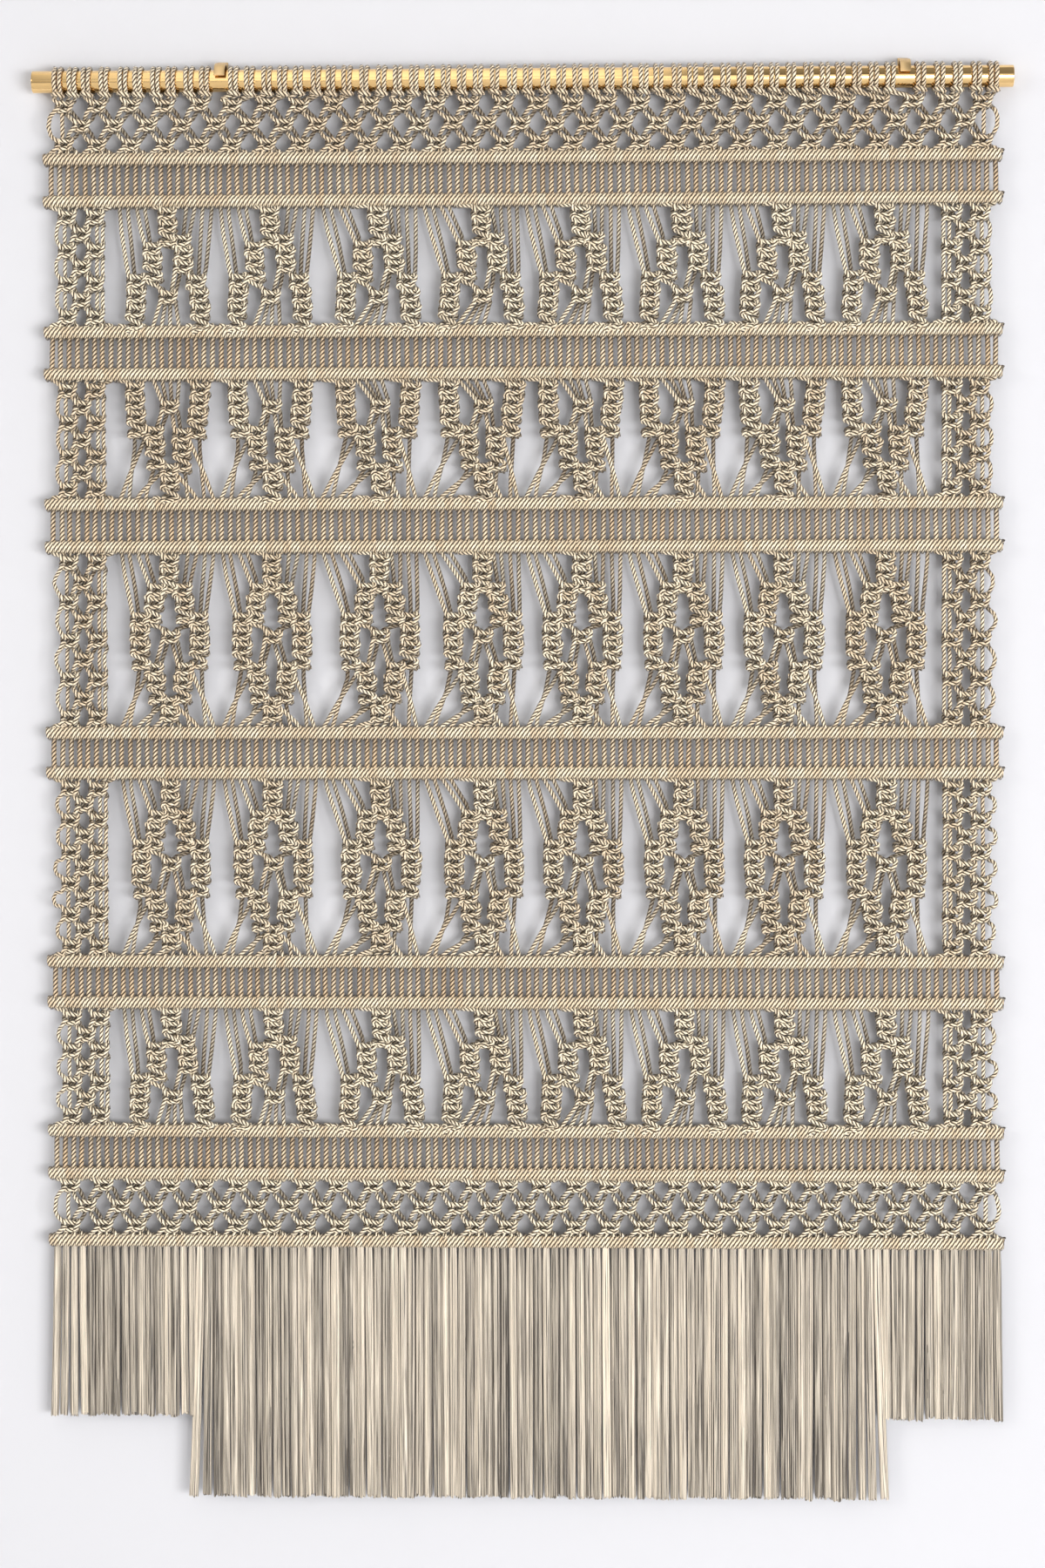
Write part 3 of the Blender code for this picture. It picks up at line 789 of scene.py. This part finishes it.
latticeValues = {
    "topRows": (-29.0, -51.5, -74.0),
    "bottomRows": (-1271.5, -1295.5, -1317.5),
    "height": 14.5,
    "width": 0.94,
    "spread": 0.35,
    "uneven": 0.8,
    # the free cords beside the middle row: where each passes the knot and where it bows out to
    "edgeCords": ((0, 3.2, -2.4), (1, 4.2, 3.2), (-2, -4.2, -3.2), (-1, -3.2, 2.4)),
    "edgeBow": ((12.0, 0.45), (7.0, 0.85), (0.0, 1.0), (-7.0, 0.85), (-12.0, 0.45)),
    "edgeDepth": -5.0,
    "edgeUneven": 0.2,
    # lighter than the other cords: painted light for the brighter light on the hanging's lower part
    "bottomTones": (0.85, 1.2),
}


def tieLattice(strands, rows, values):
    cords = hanging["cords"]
    for row, z in enumerate(rows):
        for first in range(2 * (row % 2), cords - 3, 4):
            x = (cordX(first) + cordX(first + 3)) / 2
            tieKnot(strands, range(first, first + 4), x + jitter(values["uneven"]),
                    z + jitter(values["uneven"]), values["height"], values["width"], values["spread"])
        if row == 1:
            for cord, near, far in values["edgeCords"]:
                for up, bow in values["edgeBow"]:
                    x = cordX(cord % cords) + near + (far - near) * bow + jitter(values["edgeUneven"])
                    strands[cord].append((x, values["edgeDepth"], z + up, knotValues["radius"]))


def makeTop():
    strands = [[] for cord in range(hanging["cords"])]
    makeLoops(loopValues, strands)
    tieLattice(strands, latticeValues["topRows"], latticeValues)
    for cord, strand in enumerate(strands):
        enterBar(strand, cordX(cord), barValues["drops"][0])
    top = CordMesh()
    # both cords of a loop are one length of cord
    lengths = [left[::-1] + right[1:] for left, right in zip(strands[0::2], strands[1::2])]
    addCords(top, lengths, turn=loopValues["turn"])
    top.finish("loopsAndTopLattice", cordMaterial, "cord", "net")


def makeBottom():
    strands = [[] for cord in range(hanging["cords"])]
    for cord, strand in enumerate(strands):
        leaveBar(strand, cordX(cord), barValues["drops"][-1])
    tieLattice(strands, latticeValues["bottomRows"], latticeValues)
    for cord, strand in enumerate(strands):
        enterBar(strand, cordX(cord), hanging["netDrop"])
    bottom = CordMesh()
    addCords(bottom, strands, tones=latticeValues["bottomTones"])
    bottom.finish("bottomLattice", cordMaterial, "cord", "net")


makeTop()
makeBottom()


# each motif's knots: first cord, across, share of the band's height from its top bar, knot height,
# and whether only the lower half is tied
motifValues = {
    "peaks": ((4, -0.5, 0.102, 14.5, False), (4, 0.5, 0.197, 14.5, False), (4, 0.0, 0.305, 14.5, True),
              (2, -18.0, 0.365, 15.2, False), (2, -17.5, 0.465, 15.2, False), (2, -16.0, 0.567, 15.2, True),
              (6, 15.5, 0.310, 14.8, False), (6, 18.0, 0.405, 14.8, False), (6, 18.5, 0.505, 14.8, False),
              (0, -36.0, 0.612, 17.0, False), (0, -37.0, 0.727, 17.0, False),
              (0, -38.0, 0.842, 17.0, False), (0, -38.5, 0.955, 17.0, True),
              (8, 33.0, 0.620, 16.8, False), (8, 36.0, 0.732, 16.8, False), (8, 37.5, 0.844, 16.8, False),
              (8, 38.0, 0.955, 16.8, True), (4, 0.5, 0.738, 16.0, False)),
    "valleys": ((0, -38.5, 0.118, 15.8, False), (0, -38.0, 0.223, 15.8, False),
                (0, -37.0, 0.328, 15.8, False), (0, -35.5, 0.440, 15.8, True),
                (8, 37.5, 0.122, 15.8, False), (8, 36.0, 0.227, 15.8, False), (8, 34.0, 0.330, 15.8, False),
                (8, 33.0, 0.444, 15.8, True), (4, 1.5, 0.257, 16.0, False),
                (2, -16.5, 0.455, 16.4, False), (2, -15.5, 0.565, 16.4, False), (2, -14.0, 0.680, 16.4, True),
                (6, 15.0, 0.470, 16.8, False), (6, 15.5, 0.587, 16.8, False), (6, 16.5, 0.700, 16.8, True),
                (4, 1.5, 0.737, 14.7, False), (4, 2.0, 0.835, 14.7, False), (4, 2.0, 0.945, 14.7, True)),
    "diamonds": ((4, 0.0, 0.078, 14.8, False), (4, 0.0, 0.146, 14.8, False), (4, 0.0, 0.218, 14.8, True),
                 (2, -15.0, 0.232, 15.4, False), (2, -18.0, 0.304, 15.4, False),
                 (2, -19.0, 0.378, 15.4, True),
                 (6, 14.5, 0.232, 15.4, False), (6, 18.0, 0.304, 15.4, False), (6, 19.0, 0.378, 15.4, True),
                 (0, -33.5, 0.391, 16.6, False), (0, -34.5, 0.468, 16.6, False),
                 (0, -34.0, 0.545, 16.6, False), (0, -32.5, 0.624, 16.6, True),
                 (8, 33.5, 0.390, 16.6, False), (8, 35.0, 0.467, 16.6, False), (8, 35.0, 0.544, 16.6, False),
                 (8, 33.5, 0.622, 16.6, True), (4, 0.5, 0.486, 15.8, False),
                 (2, -18.0, 0.658, 15.8, False), (2, -15.5, 0.732, 15.8, False),
                 (2, -14.0, 0.806, 15.8, True),
                 (6, 18.0, 0.658, 15.8, False), (6, 15.5, 0.732, 15.8, False), (6, 14.0, 0.806, 15.8, True),
                 (4, 0.0, 0.840, 14.8, False), (4, 0.0, 0.908, 14.8, False)),
    "span": {"peaks": 150.5, "valleys": 150.5, "diamonds": 215.0},    # the band's height for these knots
    "tones": {"peaks": (0.65, 1.15), "valleys": (0.4, 0.85), "diamonds": (0.4, 0.9)},
    "endUneven": 0.5,
    "sideCords": 8,
    "cords": 12,
}
bandKinds = ("peaks", "valleys", "diamonds", "diamonds", "peaks")


def tieMotif(strands, firstCord, middle, kind, upper, lower):
    span = lower - upper
    for first, across, share, tall, half in sorted(motifValues[kind], key=lambda knot: knot[2]):
        cords = range(firstCord + first, firstCord + first + 4)
        tieKnot(strands, cords, middle + across, -(upper + span * share),
                tall * span / motifValues["span"][kind], half=half)


sideValues = {
    "height": 17.0,
    "width": 0.96,
    "spread": 0.1,
    "rowPitch": 18.7,
    "margin": 20.0,          # of the band's height that no row takes
    "firstRow": 19.0,        # below the bar
    "ends": 36.0,            # both bars' distances to the first and last row
    "pull": 3.4,             # how far the paired knots draw to the column's middle
    "bulge": (3.5, 4.0, 8.0, 9.0, 9.0),          # of the outer loops in each band, and of the inner
    "innerBulge": 0.3,
    "bulgeUneven": (0.6, 1.3),
    # a free cord beside the middle knot: its side, and how far out it goes without the bulge
    "freeCords": ((0, -1, 8.8), (1, -1, 2.5), (6, 1, 2.5), (7, 1, 8.8)),
    "bow": ((7.0, 0.75), (0.0, 1.0), (-7.0, 0.75)),
    "depth": -4.6,
    "uneven": (0.3, 0.5),
    "radius": 2.5,
}


def tieSide(strands, firstCord, outward, upper, lower, bulge):
    values = sideValues
    span = lower - upper
    rows = round((span - values["margin"]) / values["rowPitch"])
    rows -= 1 - rows % 2     # an odd number, so that the column ends as it starts

    def tie(first, x, z):
        tieKnot(strands, range(firstCord + first, firstCord + first + 4), x, z,
                values["height"], values["width"], values["spread"])

    for row in range(rows):
        z = -(upper + values["firstRow"] + (span - values["ends"]) * row / (rows - 1))
        if row % 2 == 0:
            for first, way in ((0, 1), (4, -1)):
                middle = (cordX(firstCord + first) + cordX(firstCord + first + 3)) / 2
                tie(first, middle + way * values["pull"], z)
            continue
        tie(2, (cordX(firstCord) + cordX(firstCord + 7)) / 2, z)
        for cord, side, out in values["freeCords"]:
            knotX = cordX(firstCord + (1.5 if side < 0 else 5.5)) - values["pull"] * side
            bow = 0.0
            if cord in (0, 7):
                size = bulge if side == outward else values["innerBulge"]
                bow = size * chance.uniform(*values["bulgeUneven"])
            for up, share in values["bow"]:
                x = knotX + side * (out + bow * share) + jitter(values["uneven"][0])
                depth = values["depth"] + jitter(values["uneven"][1])
                strands[firstCord + cord].append((x, depth, z + up, values["radius"]))


def makeBand(number, kind, upper, lower):
    uneven, sideCords = motifValues["endUneven"], motifValues["sideCords"]
    strands = [[] for cord in range(hanging["cords"])]
    for cord, strand in enumerate(strands):
        leaveBar(strand, cordX(cord) + jitter(uneven), upper)
    for motif, middle in enumerate(hanging["motifMiddles"]):
        tieMotif(strands, sideCords + motifValues["cords"] * motif, middle, kind, upper, lower)
    for firstCord, outward in ((0, -1), (hanging["cords"] - sideCords, 1)):
        tieSide(strands, firstCord, outward, upper, lower, sideValues["bulge"][number])
    for cord, strand in enumerate(strands):
        enterBar(strand, cordX(cord) + jitter(uneven), lower)
    band = CordMesh()
    addCords(band, strands, tones=motifValues["tones"][kind])
    band.finish("knottedBand%d" % (number + 1), cordMaterial, "cord", "net")


for number, kind in enumerate(bandKinds):
    makeBand(number, kind, barValues["drops"][2 * number + 1], barValues["drops"][2 * number + 2])


fringeValues = {
    "below": 6.5,            # the locks start this far below the bar's middle
    "pinch": 3.4,            # half of a lock's width at the bar and lower down
    "spread": 4.25,
    "loosen": 35.0,          # length in which a lock widens from the one to the other
    "depth": 2.7,
    "middle": -2.0,          # a lock's middle in depth, against the rod's axis
    "bodySides": 14,
    "bodyEnd": 1.5,          # how far above the ends of its threads a lock's body stops
    "bodyStretch": 0.18,     # the body's streaks, against those of a thread
    # the lock's body is painted dark: painted shade for the gaps between the threads that lie on it
    "bodyShadeTone": 0.2,
    "threads": 14,
    "threadRadius": 0.75,
    "fan": 86.0,             # degrees to each side in which the threads lie on the body's front
    "segments": 8,
    "longDrop": 1629.0,
    "shortDrop": 1537.0,
    "shortLeft": 17,
    "shortRight": 14,
    "flare": (7.5, 4.5, 2.0),     # how far the outer locks of the long and of the side parts swing outwards
    "uneven": 2.2,                # ends of the threads and of the body
    "footUneven": 1.5,
    "sway": 1.6,
    "push": 0.8,
    "broad": 0.08,
    "rough": 0.16,
    "lockTones": (0.0, 0.3),
    "threadTones": (0.15, 0.75),
}


def fringeFlare(cord, values):
    last = hanging["cords"] - 1
    flare = values["flare"]
    for edge, side, size in ((0, -1, 0.6), (values["shortLeft"], -1, 1.0),
                             (last, 1, 0.4), (last - values["shortRight"], 1, 1.0)):
        inward = (edge - cord) * side
        if 0 <= inward < len(flare):
            return side * flare[inward] * size
    return 0.0


def addLock(yarn, cord, values):
    top = hanging["netDrop"] + values["below"]
    share = (np.arange(values["segments"] + 1) / values["segments"]) ** 1.35
    short = cord < values["shortLeft"] or cord >= hanging["cords"] - values["shortRight"]
    foot = (values["shortDrop"] if short else values["longDrop"]) + jitter(values["footUneven"])
    sway = jitter(values["sway"]) + fringeFlare(cord, values)
    push, broad = jitter(values["push"]), 1 + jitter(values["broad"])
    lockTone = chance.uniform(*values["lockTones"])
    front = values["middle"] + push

    def lockLine(end):
        # the lock's middle, half width, half depth and distance from the rod's axis at each step
        z = top + (end - top) * share
        loose = np.minimum(1, (z - top) / values["loosen"]) ** 0.6
        half = (values["pinch"] + (values["spread"] - values["pinch"]) * loose) * broad
        middle = cordX(cord) + sway * ((z - top) / (foot - top)) ** 1.5
        return middle, half, values["depth"] * (0.6 + 0.4 * loose), z

    sides = values["bodySides"]
    angles = np.arange(sides) * (2 * math.pi / sides)
    middle, half, deep, z = lockLine(foot - values["bodyEnd"])
    rough = np.array([1 + jitter(values["rough"]) for side in range(sides)])
    x = middle[:, None] + half[:, None] * np.cos(angles) * rough
    y = front - deep[:, None] * np.sin(angles) * rough
    ragged = np.array([jitter(values["uneven"]) for side in range(sides)])
    points = np.stack((x, y, -z[:, None] - share[:, None] ** 8 * ragged), axis=2).reshape(-1, 3)
    faces, uvs = tubeFaces(z, sides, values["bodyStretch"])
    turned = (0, 3, 2, 1)    # the body's rings run the other way round than a cord's
    yarn.add(place(points), faces[:, turned], uvs[:, turned],
             np.full(len(points), values["bodyShadeTone"] + lockTone))
    for thread in range(values["threads"]):
        turn = math.radians(values["fan"] * (2 * (thread + 0.5 + jitter(0.5)) / values["threads"] - 1))
        lift = 0.98 if thread % 3 else chance.uniform(-0.6, 0.8)
        middle, half, deep, z = lockLine(foot + jitter(values["uneven"]) - 2.0)
        wave, length, phase = chance.uniform(0.0, 0.35), chance.uniform(60, 150), chance.uniform(0, 6.3)
        x = middle + half * math.sin(turn) + jitter(0.8) * share ** 2
        x = x + wave * np.sin(z / length * 6.3 + phase) * share
        y = front - deep * math.cos(turn) * lift
        radius = values["threadRadius"] * (1.1 - 0.3 * share)
        tone = lockTone + chance.uniform(*values["threadTones"])
        sweepCord(yarn, np.column_stack((x, y, -z, radius)), 3, tone)


def makeFringe(values):
    yarn = CordMesh()
    for cord in range(hanging["cords"]):
        addLock(yarn, cord, values)
    yarn.finish("fringeYarn", yarnMaterial, "yarn", "fringe")


makeFringe(fringeValues)


stageValues = {
    "wall": (0.62, 0.625, 0.655),
    "wallPlace": (0.35, 0.0006, 1.65),
    "wallSize": 8.0,
    "floor": (0.85, 0.85, 0.86),
    "floorPlace": (0.35, 0.0, -2.35),
    "floorSize": 16.0,
}


def makeStage(values):
    shader = Shader(bpy.data.materials.new("paintedWall"))
    spot = shader.node("ShaderNodeTexCoord", {}, {}, 3)
    grain = shader.noise(spot, 160.0, 3.0)
    bump = shader.node("ShaderNodeBump", {}, {"Height": grain, "Strength": 0.05, "Distance": 0.0005})
    paint = shader.node("ShaderNodeBsdfPrincipled", {},
                        {"Base Color": values["wall"], "Roughness": 0.9, "Normal": bump})
    # the wall can be seen through from behind
    rear = shader.node("ShaderNodeNewGeometry", {}, {}, 6)
    clear = shader.node("ShaderNodeBsdfTransparent", {}, {})
    wallMaterial = shader.end(shader.node("ShaderNodeMixShader", {}, {0: rear, 1: paint, 2: clear}))
    floorShader = Shader(bpy.data.materials.new("paleFloor"))
    floorMaterial = floorShader.finish({"Base Color": values["floor"], "Roughness": 0.7})
    clearSelection()
    bpy.ops.mesh.primitive_plane_add(size=values["wallSize"], location=values["wallPlace"],
                                     rotation=(math.pi / 2, 0, 0))
    wall = bpy.context.object
    bpy.ops.object.transform_apply(location=True, rotation=True, scale=True)
    clearSelection()
    bpy.ops.mesh.primitive_plane_add(size=values["floorSize"], location=values["floorPlace"])
    floor = bpy.context.object
    for piece, name, material in ((wall, "wallBackdrop", wallMaterial), (floor, "floor", floorMaterial)):
        piece.name = name
        piece.data.materials.append(material)


makeStage(stageValues)

lightValues = {
    "key": {"place": (3.4, -5.6, -1.5), "aim": (0.35, 0, -0.85), "size": (3.6, 1.7), "watts": 310.0,
            "tint": (1.0, 0.99, 0.985)},
    "fill": {"place": (-3.5, -4.6, 0.7), "aim": (0.35, 0, -0.7), "size": (2.0, 2.0), "watts": 80.0,
             "tint": (1.0, 0.95, 0.88)},
    # the room's light by height, from straight down to straight up: ahead and to the left, and to the right
    "front": ((0.0, 0.9), (0.30, 1.2), (0.385, 1.5), (0.398, 0.15), (0.408, 0.15), (0.42, 1.5),
              (0.598, 1.5), (0.606, 0.05), (0.616, 0.05), (0.628, 1.55), (0.80, 1.5), (1.0, 1.3)),
    "right": ((0.0, 0.6), (0.30, 0.9), (0.385, 1.4), (0.55, 1.4), (0.62, 0.5), (0.66, 0.12),
              (0.72, 0.2), (1.0, 0.3)),
    "rightFrom": (0.03, 0.10),
    "sidesFrom": (0.20, 0.42),
    "sides": 0.30,
    "tint": (1.0, 0.985, 0.97),
}


def makeLights(values):
    for name in ("key", "fill"):
        one = values[name]
        lamp = bpy.data.lights.new(name, "AREA")
        lamp.shape, lamp.energy = "RECTANGLE", one["watts"]
        lamp.size, lamp.size_y = one["size"]
        lamp.color = one["tint"]
        holder = bpy.data.objects.new(name, lamp)
        holder.location = one["place"]
        aimed = Vector(one["aim"]) - Vector(one["place"])
        holder.rotation_euler = aimed.to_track_quat("-Z", "Y").to_euler()
        bpy.context.scene.collection.objects.link(holder)
    shader = Shader(bpy.data.worlds.new("studio"))
    way = shader.node("ShaderNodeTexCoord", {}, {})
    across = shader.node("ShaderNodeSeparateXYZ", {}, {0: way}, 0)
    height = shader.node("ShaderNodeSeparateXYZ", {}, {0: way}, 2) * 0.5 + 0.5

    def tinted(level):
        return tuple(level * channel for channel in values["tint"])

    def room(stops):
        return shader.node("ShaderNodeValToRGB", {"stops": [(at, tinted(level)) for at, level in stops]},
                           {0: height})

    seen = shader.mix(shader.step(across, *values["rightFrom"]), room(values["front"]), room(values["right"]))
    light = shader.mix(shader.step(abs(across), *values["sidesFrom"]), seen, tinted(values["sides"]))
    background = shader.node("ShaderNodeBackground", {}, {"Color": light, "Strength": 1.0})
    bpy.context.scene.world = shader.end(background, "ShaderNodeOutputWorld")


makeLights(lightValues)

cameraValues = {"aim": (0.3475, -0.018, -0.8175), "right": 0.098, "distance": 3.5, "lens": 70.0}


def makeCamera(values):
    camera = bpy.data.cameras.new("photoCamera")
    camera.lens, camera.sensor_width = values["lens"], 36.0
    camera.clip_start, camera.clip_end = 0.1, 60.0
    holder = bpy.data.objects.new("photoCamera", camera)
    aim = Vector(values["aim"])
    holder.location = aim + Vector((values["right"], -values["distance"], 0))
    holder.rotation_euler = (aim - holder.location).to_track_quat("-Z", "Y").to_euler()
    bpy.context.scene.collection.objects.link(holder)
    bpy.context.scene.camera = holder


makeCamera(cameraValues)
bpy.context.scene.view_settings.view_transform = "Standard"
print("stage, lights and camera made")
